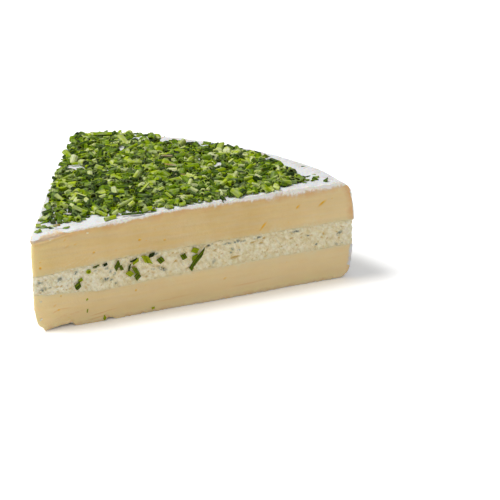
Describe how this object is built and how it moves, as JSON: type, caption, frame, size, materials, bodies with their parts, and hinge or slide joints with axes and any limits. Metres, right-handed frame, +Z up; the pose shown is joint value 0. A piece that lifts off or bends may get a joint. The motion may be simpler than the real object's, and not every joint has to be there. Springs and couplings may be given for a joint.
{
  "type": "filled soft cheese wedge with chopped chives",
  "caption": "Wedge cut from a bloomy-rind soft cheese wheel, with a herbed fresh-cheese filling between layers of paste and chopped chives on the rind.",
  "frame": {"origin": "middle of the wedge's bounding box, on the flat base it stands on", "axes": "+Z up out of the base, +Y from the wedge's tip to the middle of its curved rim, +X to the right of that when seen from the tip"},
  "size_m": [0.1448, 0.1437, 0.042],
  "materials": {
    "paste": "moist, smooth cut",
    "filling": "crumbly, porous",
    "rind": "felted white bloom",
    "chives": "satin, dried leaf"
  },
  "bodies": {
    "root": {"lower_paste": "paste", "herb_filling": "filling", "upper_paste": "paste"}
  },
  "joints": []
}
